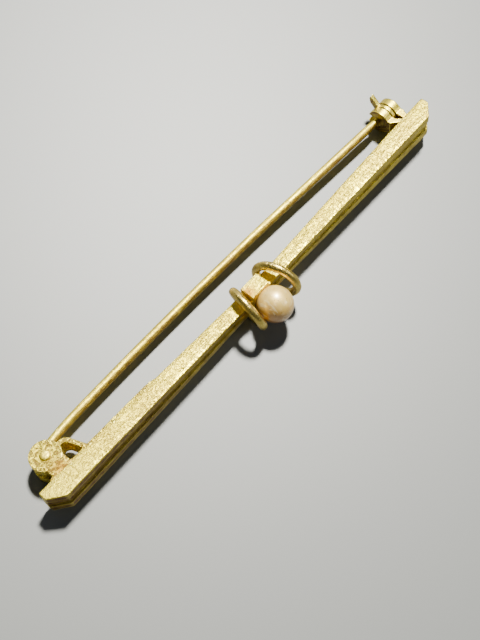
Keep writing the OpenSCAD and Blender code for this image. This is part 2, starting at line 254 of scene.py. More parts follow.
def make_gold_skin():
    """The shader group that all gold pieces share."""
    group = bpy.data.node_groups.new("gold_skin", "ShaderNodeTree")
    given, made = sockets(
        group,
        [
            ("Gold", COLOUR, (0.9, 0.73, 0.07, 1)),
            ("Deep", COLOUR, (0.3, 0.18, 0.055, 1)),
            ("Solder", COLOUR, (0.5, 0.23, 0.03, 1)),
            ("Flecks", FLOAT, 0.5),
            ("Scratches", FLOAT, 0.5),
            ("Grain", FLOAT, 3.5),
            ("Dullness", FLOAT, 0.34),
        ],
        [("Colour", COLOUR), ("Roughness", FLOAT), ("Height", FLOAT)],
    )
    own = node(group, "ShaderNodeTexCoord").outputs["Object"]
    where = stretched(group, own, (1 / MM, 1 / MM, 1 / MM))
    bend = node(group, "ShaderNodeNewGeometry").outputs["Pointiness"]
    worn = spread(group, bend, 0.51, 0.56)
    dirty = spread(group, bend, 0.49, 0.44)
    tone = spread(group, cloud(group, where, 0.4), 0.35, 0.65, 0, 0.3)
    fleck = spread(group, cloud(group, where, given.outputs["Grain"], 5, 0.65), 0.47, 0.62)
    fleck = maths(group, "MULTIPLY", fleck, given.outputs["Flecks"])
    along = cloud(group, stretched(group, where, (0.35, 5, 5)), 2.2, 3)
    across = cloud(group, stretched(group, where, (4, 0.6, 2)), 2.0, 3)
    lines = maths(group, "MAXIMUM", spread(group, along, 0.56, 0.62),
                  spread(group, across, 0.6, 0.66))
    lines = maths(group, "MULTIPLY", lines, given.outputs["Scratches"])
    colour = tint(group, tone, given.outputs["Gold"], given.outputs["Deep"])
    colour = tint(group, maths(group, "MULTIPLY", fleck, 0.7), colour, given.outputs["Deep"])
    colour = tint(group, maths(group, "MULTIPLY", lines, 0.25), colour, given.outputs["Deep"])
    # the solder value also carries a painted warm reflection on the block
    solder = node(group, "ShaderNodeAttribute", attribute_name="solder").outputs["Fac"]
    colour = tint(group, solder, colour, given.outputs["Solder"])
    # painted shade: a value stored on the mesh darkens faces turned away from the light, unevenly
    painted_shade = node(group, "ShaderNodeAttribute", attribute_name="painted_shade").outputs["Fac"]
    uneven = spread(group, cloud(group, where, 1.6, 4), 0.3, 0.6, 0.6, 1)
    patchy = maths(group, "MULTIPLY", painted_shade, uneven)
    colour = tint(group, patchy, colour, (0.16, 0.07, 0.035, 1))
    colour = tint(group, maths(group, "MULTIPLY", dirty, 0.8), colour, given.outputs["Deep"])
    colour = tint(group, maths(group, "MULTIPLY", worn, 0.5), colour, (1, 0.88, 0.2, 1))
    dull = maths(group, "MULTIPLY_ADD", fleck, 0.16, given.outputs["Dullness"])
    dull = maths(group, "MULTIPLY_ADD", lines, 0.1, dull)
    dull = maths(group, "MULTIPLY_ADD", worn, -0.1, dull)
    fine = cloud(group, where, 14, 2)
    height = maths(group, "MULTIPLY_ADD", fleck, -0.7, maths(group, "MULTIPLY", fine, 0.25))
    height = maths(group, "MULTIPLY_ADD", lines, -0.5, height)
    feed(group, made.inputs["Colour"], colour)
    feed(group, made.inputs["Roughness"], dull)
    feed(group, made.inputs["Height"], height)
    return group


GOLD_SKIN = make_gold_skin()


def gold(name, relief, **amounts):
    """A gold finish: the shared skin with this piece's own amounts."""
    material, tree = shade_tree(name)
    skin = node(tree, "ShaderNodeGroup", node_tree=GOLD_SKIN)
    for key, value in amounts.items():
        skin.inputs[key].default_value = value
    bump = node(tree, "ShaderNodeBump")
    bump.inputs["Strength"].default_value = relief
    bump.inputs["Distance"].default_value = 0.05 * MM
    shader = node(tree, "ShaderNodeBsdfPrincipled")
    shader.inputs["Metallic"].default_value = 1.0
    out = node(tree, "ShaderNodeOutputMaterial")
    tree.links.new(skin.outputs["Colour"], shader.inputs["Base Color"])
    tree.links.new(skin.outputs["Roughness"], shader.inputs["Roughness"])
    tree.links.new(skin.outputs["Height"], bump.inputs["Height"])
    tree.links.new(bump.outputs[0], shader.inputs["Normal"])
    tree.links.new(shader.outputs[0], out.inputs[0])
    return material


BAR_GOLD = gold("satin_gold", 1.0, Flecks=0.55, Scratches=0.6, Grain=4.5, Dullness=0.36)
CAST_GOLD = gold("speckled_gold", 1.0, Flecks=1.3, Scratches=0.3, Grain=4.0, Dullness=0.36)
RING_GOLD = gold("bright_gold", 0.4, Gold=(0.78, 0.59, 0.14, 1), Flecks=0.5, Scratches=0.9,
                 Grain=2.0, Dullness=0.28)
CATCH_GOLD = gold("smooth_gold", 0.4, Flecks=0.5, Scratches=0.4, Grain=2.5, Dullness=0.34)
PIN_GOLD = gold("drawn_gold", 0.6, Flecks=0.4, Scratches=0.8, Grain=3.5, Dullness=0.46)
print("gold finishes:", [m.name for m in bpy.data.materials if "gold" in m.name])

# %% [markdown]
# Every piece ends the same way. Its mesh is laid down, gets its finish and a
# smooth look, rides on its body and stands for the solids that it dresses.
# Shapes made by Geometry Nodes are first turned into plain meshes.

# %% How a piece is finished
def finish_piece(name, mesh, material, slot, body, *nodes):
    """A finished piece from a mesh that was drawn flat in millimetres."""
    mesh.name = name
    mesh.transform(LAY_DOWN)
    mesh.materials.clear()
    mesh.materials.append(material)
    mesh.polygons.foreach_set("use_smooth", [True] * len(mesh.polygons))
    mesh.update()
    made = bpy.data.objects.new(name, mesh)
    bpy.context.scene.collection.objects.link(made)
    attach(made, body)
    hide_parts(*nodes)
    mesh.calc_loop_triangles()
    print(name, len(mesh.loop_triangles), "triangles")
    return made


def as_mesh(obj):
    """The evaluated shape of an object as a plain mesh; the object goes."""
    graph = bpy.context.evaluated_depsgraph_get()
    mesh = bpy.data.meshes.new_from_object(obj.evaluated_get(graph))
    obj.modifiers.clear()
    bpy.data.objects.remove(obj)
    return mesh


def grown(mesh, tree, **amounts):
    """What a Geometry Nodes tree makes of a mesh with these named amounts."""
    obj = bpy.data.objects.new("work", mesh)
    bpy.context.scene.collection.objects.link(obj)
    modifier = obj.modifiers.new("grow", "NODES")
    modifier.node_group = tree
    for item in tree.interface.items_tree:
        key = item.name.replace(" ", "_")
        if item.in_out == "INPUT" and key in amounts:
            modifier[item.identifier] = amounts[key]
    return as_mesh(obj)


def face_outwards(mesh, *more):
    """Turns all faces outwards, after other meshes have joined this one."""
    shell = bmesh.new()
    for part in (mesh, *more):
        shell.from_mesh(part)
    bmesh.ops.recalc_face_normals(shell, faces=shell.faces)
    shell.to_mesh(mesh)
    shell.free()


def closed(verts, faces):
    """A mesh whose faces all point outwards."""
    mesh = bpy.data.meshes.new("work")
    mesh.from_pydata([tuple(v) for v in verts], [], faces)
    face_outwards(mesh)
    return mesh


print("pieces can be finished")

# %% [markdown]
# The bar is a main piece with a rule: its depth and height grow from the neck
# beside the rings to the ends, fast at first and then slower. So a grid of
# points is made once, each point knowing only where it sits on the section,
# and a Geometry Nodes tree moves the points by the rule. The same tree rubs
# the edges unevenly, as a hundred years of wear have done.

# %% The points of the bar's section
BAR_L, CORNER_L, CORNER_D = 50.0, 1.36, 0.82
END_BACK, END_FRONT, END_H = 0.98, 0.92, 2.6
NECK_BACK, NECK_FRONT, NECK_H, NECK_X, TAPER_BEND = 0.58, 0.76, 1.6, 3.0, 1.3
GROOVE_D, GROOVE_SHARE, GROOVE_SLOPE = 0.16, 0.34, 0.05
BACK, FRONT = 1.0, 0.0
# side, share of the height, shift in depth and height, way in, way out, radius, extra points
SECTION = [
    (BACK, 1, 0, 0, (0, 1), (-1, 0), 0.1, 7),
    (FRONT, 1, 0, 0, (-1, 0), (0, -1), 0.07, 3),
    (FRONT, GROOVE_SHARE, 0, 0, (0, -1), (1, 0), 0.05, 1),
    (FRONT, GROOVE_SHARE, GROOVE_D, -GROOVE_SLOPE, (1, 0), (0, -1), 0.05, 3),
    (FRONT, -GROOVE_SHARE, GROOVE_D, GROOVE_SLOPE, (0, -1), (-1, 0), 0.05, 1),
    (FRONT, -GROOVE_SHARE, 0, 0, (-1, 0), (0, -1), 0.05, 3),
    (FRONT, -1, 0, 0, (0, -1), (1, 0), 0.08, 7),
    (BACK, -1, 0, 0, (1, 0), (0, 1), 0.1, 7),
]
TURN_POINTS = 5


def section_points():
    """Rows of (side, share, shift in depth, shift in height, edge) round the bar."""
    rows = []
    for side, share, dy, dz, way_in, way_out, r, extra in SECTION:
        for i in range(TURN_POINTS):
            t = pi / 2 * i / (TURN_POINTS - 1)
            a, b = r * (1 - sin(t)), r * (1 - cos(t))
            edge = 1.0 if abs(share) == 1 else 0.4
            rows.append((side, share, dy - way_in[0] * a + way_out[0] * b,
                         dz - way_in[1] * a + way_out[1] * b, edge))
        rows.append(extra)
    points = []
    for i, row in enumerate(rows):
        if isinstance(row, tuple):
            points.append(row)
            continue
        first, last = np.array(rows[i - 1]), np.array(rows[(i + 1) % len(rows)])
        for k in range(1, row + 1):
            step = first + (last - first) * k / (row + 1)
            points.append((*step[:4], 0.0))
    return np.array(points)


section = section_points()
print("the section has", len(section), "points")

# %% The grid of the bar
# painted shade on the bar's front: full at the hinge end, fading towards the catch end
END_R, SHADE_AT_HINGE_END, SHADE_FADE = 0.1, 1.0, 0.016
inner = np.linspace(-BAR_L / 2 + END_R, BAR_L / 2 - END_R, 420)
turn = np.sin(np.linspace(0, pi / 2, 6)[1:]) * END_R
stations = np.concatenate([-BAR_L / 2 + END_R - turn[::-1], inner, BAR_L / 2 - END_R + turn])
past = np.maximum(0, np.abs(stations) - (BAR_L / 2 - END_R))
tucks = END_R - np.sqrt(np.maximum(0, END_R**2 - past**2))

verts, attributes = [], []
for x, tuck in zip(stations, tucks):
    for side, share, dy, dz, edge in section:
        verts.append((x, dy + (1 - 2 * side) * tuck, dz - share * tuck))
        # painted shade on the front and its groove, weaker at the rounded turns
        dark = SHADE_AT_HINGE_END - SHADE_FADE * (x + BAR_L / 2)
        shaded = dark * (1 - edge) if side == FRONT and abs(share) < 1 else 0.0
        attributes.append((side, share, edge, shaded))
n, rows = len(section), len(stations)
faces = [
    (j * n + i, j * n + (i + 1) % n, (j + 1) * n + (i + 1) % n, (j + 1) * n + i)
    for j in range(rows - 1) for i in range(n)
]
faces += [tuple(range(n))[::-1], tuple(range((rows - 1) * n, rows * n))]
bar_grid = bpy.data.meshes.new("bar_grid")
bar_grid.from_pydata(verts, [], faces)
for k, key in enumerate(("side", "share", "edge", "painted_shade")):
    layer = bar_grid.attributes.new(key, "FLOAT", "POINT")
    layer.data.foreach_set("value", [a[k] for a in attributes])
print("bar grid:", len(verts), "points at", rows, "stations")

# %% The rule of the bar as a tree
def named(tree, name):
    """A value stored on the points."""
    made = node(tree, "GeometryNodeInputNamedAttribute", data_type="FLOAT")
    made.inputs["Name"].default_value = name
    return made.outputs["Attribute"]


def finish_tree(tree, shape, given, made):
    """The last nodes of every tree: real geometry with the given finish."""
    real = node(tree, "GeometryNodeRealizeInstances")
    finish = node(tree, "GeometryNodeSetMaterial")
    tree.links.new(shape, real.inputs[0])
    tree.links.new(real.outputs[0], finish.inputs["Geometry"])
    tree.links.new(given.outputs["Finish"], finish.inputs["Material"])
    tree.links.new(finish.outputs[0], made.inputs["Shape"])


def shape_tree(name, numbers):
    """A new Geometry Nodes tree with a shape, named numbers and a finish."""
    tree = bpy.data.node_groups.new(name, "GeometryNodeTree")
    inputs = [("Shape", "NodeSocketGeometry", None)]
    inputs += [(key, FLOAT, value) for key, value in numbers.items()]
    inputs += [("Finish", "NodeSocketMaterial", None)]
    given, made = sockets(tree, inputs, [("Shape", "NodeSocketGeometry")])
    return tree, given, made


def roughed(tree, shape, depth, scale, seed):
    """The shape with its points pressed in along their normals by noise."""
    place = node(tree, "GeometryNodeInputPosition").outputs[0]
    moved = node(tree, "ShaderNodeVectorMath", operation="ADD")
    tree.links.new(place, moved.inputs[0])
    moved.inputs[1].default_value = (seed, seed, seed)
    dent = cloud(tree, moved.outputs[0], scale, 3)
    push = maths(tree, "MULTIPLY", dent, maths(tree, "MULTIPLY", depth, -1.0))
    normal = node(tree, "GeometryNodeInputNormal").outputs[0]
    step = node(tree, "ShaderNodeVectorMath", operation="SCALE")
    tree.links.new(normal, step.inputs[0])
    tree.links.new(push, step.inputs["Scale"])
    pressed = node(tree, "GeometryNodeSetPosition")
    tree.links.new(shape, pressed.inputs["Geometry"])
    tree.links.new(step.outputs[0], pressed.inputs["Offset"])
    return pressed.outputs[0]


BAR_RULE = {
    "Length": BAR_L, "Neck place": NECK_X, "Bend": TAPER_BEND,
    "Neck back": NECK_BACK, "End back": END_BACK,
    "Neck front": NECK_FRONT, "End front": END_FRONT,
    "Neck height": NECK_H, "End height": END_H,
    "Corner length": CORNER_L, "Corner depth": CORNER_D,
    "Wear": 0.012, "Edge wear": 0.05,
}


def make_bar_tree():
    """The taper, the slanted corners and the wear of the bar."""
    tree, given, made = shape_tree("tapered_bar", BAR_RULE)
    get = given.outputs
    xyz = node(tree, "ShaderNodeSeparateXYZ")
    tree.links.new(node(tree, "GeometryNodeInputPosition").outputs[0], xyz.inputs[0])
    x, dy, dz = xyz.outputs
    far = maths(tree, "ABSOLUTE", x)
    half_length = maths(tree, "DIVIDE", get["Length"], 2.0)
    reach = maths(tree, "SUBTRACT", half_length, get["Neck place"])
    along = maths(tree, "DIVIDE", maths(tree, "SUBTRACT", far, get["Neck place"]), reach)
    along = maths(tree, "MINIMUM", maths(tree, "MAXIMUM", along, 0.0), 1.0)
    left = maths(tree, "POWER", maths(tree, "SUBTRACT", 1.0, along), get["Bend"])
    fill = maths(tree, "SUBTRACT", 1.0, left)
    back = between(tree, get["Neck back"], get["End back"], fill)
    front = maths(tree, "MULTIPLY", between(tree, get["Neck front"], get["End front"], fill), -1.0)
    high = maths(tree, "DIVIDE", between(tree, get["Neck height"], get["End height"], fill), 2.0)
    rise = maths(tree, "SUBTRACT", maths(tree, "ADD", get["End back"], get["End front"]),
                 get["Corner depth"])
    steep = maths(tree, "DIVIDE", rise, get["Corner length"])
    start = maths(tree, "SUBTRACT", half_length, get["Corner length"])
    run = maths(tree, "SUBTRACT", far, start)
    slanted = maths(tree, "SUBTRACT", maths(tree, "MULTIPLY", run, steep), get["End front"])
    on_corner = maths(tree, "GREATER_THAN", slanted, front)
    front = maths(tree, "SMOOTH_MAX", front, slanted, 0.08)
    longer = maths(tree, "SQRT", maths(tree, "MULTIPLY_ADD", steep, steep, 1.0))
    deeper = between(tree, 1.0, longer, on_corner)
    y = between(tree, front, back, named(tree, "side"))
    y = maths(tree, "MULTIPLY_ADD", dy, deeper, y)
    z = maths(tree, "MULTIPLY_ADD", named(tree, "share"), high, dz)
    place = node(tree, "ShaderNodeCombineXYZ")
    for socket, value in zip(place.inputs, (x, y, z)):
        tree.links.new(value, socket)
    moved = node(tree, "GeometryNodeSetPosition")
    tree.links.new(get["Shape"], moved.inputs["Geometry"])
    tree.links.new(place.outputs[0], moved.inputs["Position"])
    worn = roughed(tree, moved.outputs[0], get["Wear"], 0.8, 3.0)
    edge = maths(tree, "MULTIPLY", get["Edge wear"], named(tree, "edge"))
    worn = roughed(tree, worn, edge, 1.7, 11.0)
    finish_tree(tree, worn, given, made)
    return tree


bar_mesh = grown(bar_grid, make_bar_tree(), Finish=BAR_GOLD)
face_outwards(bar_mesh)
finish_piece("bar", bar_mesh, BAR_GOLD, "gold", "brooch", "frame")

# %% [markdown]
# The two rings are plain wire bent round the bar and soldered at the block.
# One tree makes both: a circle is swept with a smaller circle, pressed in a
# little here and there, then turned, leaned and put in its place.

# %% The two rings
def make_ring_tree():
    """A wire ring round the X axis, turned and leaned."""
    numbers = {"Ring radius": RING_R, "Wire radius": WIRE_R, "Place": 0.0,
               "In front": RING_FRONT, "Turn": 0.0, "Lean": 0.0, "Wear": 0.03}
    tree, given, made = shape_tree("wire_ring", numbers)
    get = given.outputs
    path = node(tree, "GeometryNodeCurvePrimitiveCircle")
    path.inputs["Resolution"].default_value = 160
    tree.links.new(get["Ring radius"], path.inputs["Radius"])
    wire = node(tree, "GeometryNodeCurvePrimitiveCircle")
    wire.inputs["Resolution"].default_value = 36
    tree.links.new(get["Wire radius"], wire.inputs["Radius"])
    sweep = node(tree, "GeometryNodeCurveToMesh")
    tree.links.new(path.outputs[0], sweep.inputs["Curve"])
    tree.links.new(wire.outputs[0], sweep.inputs["Profile Curve"])
    worn = roughed(tree, sweep.outputs[0], get["Wear"], 0.9, 5.0)
    stood = node(tree, "GeometryNodeTransform")
    tree.links.new(worn, stood.inputs["Geometry"])
    stood.inputs["Rotation"].default_value = (0, pi / 2, 0)
    turned = node(tree, "GeometryNodeTransform")
    tree.links.new(stood.outputs[0], turned.inputs["Geometry"])
    place, angles = node(tree, "ShaderNodeCombineXYZ"), node(tree, "ShaderNodeCombineXYZ")
    tree.links.new(get["Place"], place.inputs[0])
    tree.links.new(maths(tree, "MULTIPLY", get["In front"], -1.0), place.inputs[1])
    tree.links.new(maths(tree, "MULTIPLY", get["Lean"], -1.0), angles.inputs[1])
    tree.links.new(get["Turn"], angles.inputs[2])
    tree.links.new(place.outputs[0], turned.inputs["Translation"])
    tree.links.new(angles.outputs[0], turned.inputs["Rotation"])
    finish_tree(tree, turned.outputs[0], given, made)
    return tree


RINGS = {"ring_hinge_side": (-1.88, -12, 14), "ring_catch_side": (1.88, 17, 1)}
ring_tree = make_ring_tree()
for name, (x, turned_by, leaned_by) in RINGS.items():
    ring = grown(bpy.data.meshes.new("work"), ring_tree, Place=x, Turn=radians(turned_by),
                 Lean=radians(leaned_by), Finish=RING_GOLD)
    finish_piece(name, ring, RING_GOLD, "gold", "brooch", "frame")

# %% [markdown]
# The block, the hinge, the stop and the catch are small plates soldered
# together, and their edges and corners are all a little soft. They could be
# bevelled edge by edge. It is quicker, and nearer to solder, to push plain
# plates into each other, melt them into one skin of tiny squares and rub that
# skin smooth: outer edges round off and inner corners fill, as solder does.

# %% Plates and how they are soldered into one skin
def circle(cx, cy, r, start=0, end=360, n=48):
    """Points on a circle or an arc of it."""
    return [(cx + r * cos(radians(start + (end - start) * i / n)),
             cy + r * sin(radians(start + (end - start) * i / n))) for i in range(n)]


def plate(outline, low, high, along="Z"):
    """A flat outline pulled into a plate along Z, or along X for one in YZ."""
    n = len(outline)
    if along == "Z":
        verts = [(a, b, h) for h in (low, high) for a, b in outline]
    else:
        verts = [(h, a, b) for h in (low, high) for a, b in outline]
    faces = [(i, (i + 1) % n, n + (i + 1) % n, n + i) for i in range(n)]
    return verts, faces + [tuple(range(n))[::-1], tuple(range(n, 2 * n))]


def bead(x, y, z, r, flat=0.6):
    """A low drop of solder."""
    place = Matrix.Translation((x, y, z)) @ Matrix.Diagonal((1, flat, 1, 1))
    blob = bmesh.new()
    bmesh.ops.create_icosphere(blob, subdivisions=3, radius=r, matrix=place)
    verts = [tuple(v.co) for v in blob.verts]
    faces = [tuple(v.index for v in f.verts) for f in blob.faces]
    blob.free()
    return verts, faces


def soldered(solids, grain=0.035, rubs=6, carve=()):
    """Solids melted into one skin and rubbed smooth, with others carved out."""
    verts, faces = [], []
    for v, f in solids:
        base = len(verts)
        verts += v
        faces += [tuple(i + base for i in face) for face in f]
    obj = bpy.data.objects.new("work", closed(verts, faces))
    bpy.context.scene.collection.objects.link(obj)
    melt = obj.modifiers.new("melt", "REMESH")
    melt.mode = "VOXEL"
    melt.voxel_size = grain
    tools = []
    for v, f in carve:
        tool = bpy.data.objects.new("tool", closed(v, f))
        bpy.context.scene.collection.objects.link(tool)
        cut = obj.modifiers.new("carve", "BOOLEAN")
        cut.object, cut.operation, cut.solver = tool, "DIFFERENCE", "EXACT"
        tools.append(tool)
    if carve:
        again = obj.modifiers.new("again", "REMESH")
        again.mode = "VOXEL"
        again.voxel_size = grain
    rub = obj.modifiers.new("rub", "SMOOTH")
    rub.factor, rub.iterations = 0.5, rubs
    mesh = as_mesh(obj)
    for tool in tools:
        bpy.data.objects.remove(tool)
    return mesh


def mark_solder_and_reflection(mesh, spots):
    """Stores how near each point is to solder or to a painted warm reflection: spots are (x, y, z,
    reach, amount).
    """
    co = np.zeros(len(mesh.vertices) * 3)
    mesh.vertices.foreach_get("co", co)
    co = co.reshape(-1, 3)
    value = np.zeros(len(co))
    for x, y, z, reach, amount in spots:
        d2 = ((co - (x, y, z)) ** 2).sum(1)
        value = np.maximum(value, amount * np.exp(-d2 / reach**2))
    mesh.attributes.new("solder", "FLOAT", "POINT").data.foreach_set("value", value)


def mark_dark(mesh, amount):
    """Stores painted shade on each point, from the way that it faces."""
    value = [amount(v.normal) for v in mesh.vertices]
    mesh.attributes.new("painted_shade", "FLOAT", "POINT").data.foreach_set("value", value)


print("plates can be soldered")

# %% [markdown]
# The block between the rings is a little taller than the bar there. Its front
# is hollowed to take the pearl. Its hinge-side end gets a painted warm
# reflection in the solder colour. The catch-side ring is held to the lower
# back edge of the bar by one drop of solder.

# %% The block
BLOCK_X, BLOCK_L, BLOCK_H, BLOCK_BACK, BLOCK_FRONT = -0.36, 2.05, 2.8, 0.62, 0.82
SEAT_GAP, SOLDER_R, SOLDER_OUT = 0.03, 0.28, 0.1
from_x, to_x = BLOCK_X - BLOCK_L / 2, BLOCK_X + BLOCK_L / 2
block_outline = [(from_x, -BLOCK_FRONT), (to_x, -BLOCK_FRONT),
                 (to_x, BLOCK_BACK), (from_x, BLOCK_BACK)]
block_mesh = soldered(
    [plate(block_outline, -BLOCK_H / 2, BLOCK_H / 2)], grain=0.03, rubs=4,
    carve=[bead(-PEARL_OFF, -PEARL_FRONT, 0, PEARL_R + SEAT_GAP, 1.0)],
)
# painted warm reflection on the hinge-side end of the block, laid on in the solder colour
mark_solder_and_reflection(block_mesh, [(-1.3, -0.1, 1.4, 0.75, 0.9), (-1.4, 0.3, 0, 0.9, 0.6)])
finish_piece("block", block_mesh, BAR_GOLD, "gold", "brooch", "frame")

ring_x, ring_turn, _ = RINGS["ring_catch_side"]
solder_y = NECK_BACK + SOLDER_OUT
solder_x = ring_x - (solder_y + RING_FRONT) * tan(radians(ring_turn))
drop = closed(*bead(solder_x, solder_y, -NECK_H / 2 - SOLDER_OUT, SOLDER_R - 0.01, 1.0))
finish_piece("ring_solder", drop, BAR_GOLD, "gold", "brooch", "frame")

# %% [markdown]
# The hinge has two round cheeks that stand on one foot. A thin strip runs
# from the foot along the back of the bar. Beside the cheeks a bent strip makes
# a loop down to the bar: it stops the pin and holds it up.

# %% The hinge, its strip and the stop
CHEEK_NECK, FOOT_L, FOOT_H, FOOT_T = 0.82, 0.42, 0.2, 0.08
STRIP_H, STRIP_T, STRIP_END, STRIP_THIN = 1.8, 0.22, 12.0, 0.3
STOP_T, STOP_R, STOP_X, STOP_Y = 0.42, 0.88, 1.55 - HINGE_X, HINGE_Y - 0.62
STOP_SLANT, STOP_FOOT_R, STOP_FOOT_T = 20, 0.42, 0.26
KNUCKLE_R, KNUCKLE_H, KNUCKLE_ROOM = 0.95, 0.42, 0.08


def fill_at(x):
    """How far the bar has grown at x, from 0 at a neck to 1 at an end."""
    along = max(0.0, (abs(x) - NECK_X) / (BAR_L / 2 - NECK_X))
    return 1 - (1 - along) ** TAPER_BEND


def back_at(x):
    """Where the back of the bar is at x."""
    return NECK_BACK + (END_BACK - NECK_BACK) * fill_at(x)


foot_y = back_at(HINGE_X)
half_neck = [(CHEEK_NECK, HINGE_Y), (CHEEK_NECK, foot_y + FOOT_H),
             (CHEEK_NECK + FOOT_L, foot_y + FOOT_T), (CHEEK_NECK + FOOT_L, foot_y - SUNK)]
neck = [(-HINGE_X + a, b) for a, b in half_neck]
neck += [(-HINGE_X - a, b) for a, b in half_neck[::-1]]
cheeks = []
for low, high in ((CHEEK_IN, CHEEK_OUT), (-CHEEK_OUT, -CHEEK_IN)):
    cheeks.append(plate(circle(-HINGE_X, HINGE_Y, CHEEK_R, n=96), low, high))
    cheeks.append(plate(neck, low, high))
for x, r in ((-23.5, 0.2), (-22.6, 0.16), (-21.5, 0.22)):
    cheeks.append(bead(x, foot_y + 0.02, CHEEK_OUT - 0.3, r))
hinge_mesh = soldered(cheeks, grain=0.035, rubs=5)
mark_solder_and_reflection(hinge_mesh, [
    (-22.4, foot_y + 0.2, 1.2, 0.75, 0.75), (-23.6, foot_y + 0.1, 1.0, 0.4, 0.6),
    (-21.5, foot_y + 0.1, 1.0, 0.4, 0.8),
])
finish_piece("hinge_cheeks", hinge_mesh, CAST_GOLD, "gold", "brooch", "frame")

strip_start = HINGE_X + CHEEK_NECK + FOOT_L
xs = np.linspace(-strip_start, -STRIP_END, 24)
strip = [(x, back_at(x) + STRIP_T * min(1, STRIP_THIN - x - STRIP_END)) for x in xs]
strip += [(x, back_at(x) - SUNK) for x in xs[::-1]]


def loop(top_r, foot, foot_r, low_y):
    """A loop that is round above and beside the neck, and pointed at the bar."""
    top = circle(STOP_X, STOP_Y, top_r, STOP_SLANT, 170, 24)
    point = (top[0][0] + (top[0][1] - low_y) * tan(radians(STOP_SLANT)), low_y)
    return [point] + top + circle(*foot, foot_r, 180, 270, 10) + [(foot[0], low_y)]


bar_y = back_at(STOP_X)
foot = (-HINGE_X + CHEEK_NECK + STOP_FOOT_R, bar_y + STOP_FOOT_R)
half_r = STOP_FOOT_R / 2
opening = (foot[0] + STOP_FOOT_T - half_r, bar_y + STRIP_T + half_r)
stop_mesh = soldered(
    [plate(strip, -STRIP_H / 2, STRIP_H / 2),
     plate(loop(STOP_R, foot, STOP_FOOT_R, bar_y - SUNK), -STRIP_H / 2, STRIP_H / 2),
     bead(-19.4, back_at(-19.4) + 0.1, 0.5, 0.22)],
    grain=0.035, rubs=5,
    carve=[plate(loop(STOP_R - STOP_T, opening, half_r, opening[1] - half_r), -STRIP_H, STRIP_H),
           plate(circle(-HINGE_X, HINGE_Y, KNUCKLE_R + KNUCKLE_ROOM, n=96), -CHEEK_IN, CHEEK_IN)],
)
mark_solder_and_reflection(stop_mesh, [(-20.4, 2.4, 0, 0.6, 0.5), (-19.6, 1.2, 0.4, 0.4, 0.4)])
finish_piece("pin_stop", stop_mesh, CAST_GOLD, "gold", "brooch", "frame")

# %% [markdown]
# The catch is two round plates on legs that lean together. Both are open at
# the back, so that the pin can swing in. Between them sits the collar, which
# is turned by its little thumb lever until its own slot faces away. Its hubs
# run in round hollows inside the plates, whose outer walls hide them. So the
# hollows and the slots are carved out after the solids have been melted.

# %% The catch and its collar
CATCH_X, CATCH_R, CATCH_T, CATCH_ROOM = 21.18, 1.22, 0.78, 0.54
CATCH_FOOT, NECK_ROOM, CATCH_NECK_H = 0.5, 0.1, 1.5
SLOT_W, SLOT_DEEP, HUB_R, PLAY, COLLAR_SLOT, LEVER_W = 0.36, 0.14, 0.86, 0.05, 0.33, 0.44
PIN_OFF, COLLAR_TURN, COLLAR_GAP, COVER_T, LOOKS_ALONG = 0.22, 95, 0.09, 0.2, 0.6


def hinge_side(amount):
    """Painted shade on the faces that look along the bar towards the hinge, away from the light."""
    return lambda out: amount if out.x < -LOOKS_ALONG else 0


def disc(r, low, high):
    """A round plate about the catch's axis."""
    return plate(circle(CATCH_Y, 0, r, n=96), low, high, "X")


def leg(x, foot_x):
    """The leg of one catch plate, from its hub down to the bar."""
    low, high = back_at(CATCH_X) - SUNK, CATCH_Y - HUB_R - PLAY
    bend = CATCH_Y - COLLAR_R - NECK_ROOM
    outline = [(x, high), (x, bend), (foot_x, low),
               (foot_x + CATCH_FOOT, low), (x + CATCH_T, bend), (x + CATCH_T, high)]
    return plate(outline, -CATCH_NECK_H / 2, CATCH_NECK_H / 2)


rear_x = CATCH_X + CATCH_T + CATCH_ROOM
catch_end = rear_x + CATCH_T
shut_y, open_y = CATCH_Y - SLOT_DEEP, CATCH_Y + 2 * CATCH_R
mouth = [(shut_y, -SLOT_W), (open_y, -SLOT_W), (open_y, SLOT_W), (shut_y, SLOT_W)]
catch_mesh = soldered(
    [disc(CATCH_R, CATCH_X, CATCH_X + CATCH_T), disc(CATCH_R, rear_x, catch_end),
     leg(CATCH_X, rear_x - CATCH_FOOT + SUNK), leg(rear_x, rear_x - SUNK),
     bead(22.3, back_at(22) + 0.05, 0.55, 0.25), bead(22.7, back_at(22) + 0.02, -0.4, 0.25)],
    grain=0.033, rubs=4,
    carve=[disc(HUB_R + PLAY, CATCH_X + COVER_T, catch_end - COVER_T),
           plate(mouth, CATCH_X - 1, catch_end + 1, "X")],
)
mark_solder_and_reflection(catch_mesh, [(22.5, 1.0, 0.7, 0.5, 0.35)])
# painted shade on the catch plates' faces that look towards the hinge, away from the light
mark_dark(catch_mesh, hinge_side(1.0))
finish_piece("catch_cheeks", catch_mesh, CATCH_GOLD, "gold", "brooch", "frame")

collar_x, collar_w = CATCH_X + CATCH_T + COLLAR_GAP, CATCH_ROOM - 2 * COLLAR_GAP
hub_in = COVER_T + PLAY
lever_x = collar_x + (collar_w - LEVER_W) / 2


def pin_way():
    """The slot in the collar, and the room that the pin needs while it turns."""
    half = COLLAR_TURN / 2
    near = degrees(acos(PIN_OFF * sin(radians(half)) / COLLAR_SLOT))
    room = PIN_OFF + COLLAR_SLOT
    end = (PIN_OFF * cos(radians(COLLAR_TURN)), -PIN_OFF * sin(radians(COLLAR_TURN)))
    way = [(2 * COLLAR_R, -COLLAR_SLOT), (2 * COLLAR_R, COLLAR_SLOT)]
    way += circle(PIN_OFF, 0, COLLAR_SLOT, 90, 270 - half - near, 16)
    way += circle(*end, COLLAR_SLOT, 90 - half + near, 360 - COLLAR_TURN, 24)
    way += circle(0, 0, room, -COLLAR_TURN, -degrees(asin(COLLAR_SLOT / room)), 12)
    return [(CATCH_Y + y, z) for y, z in way]


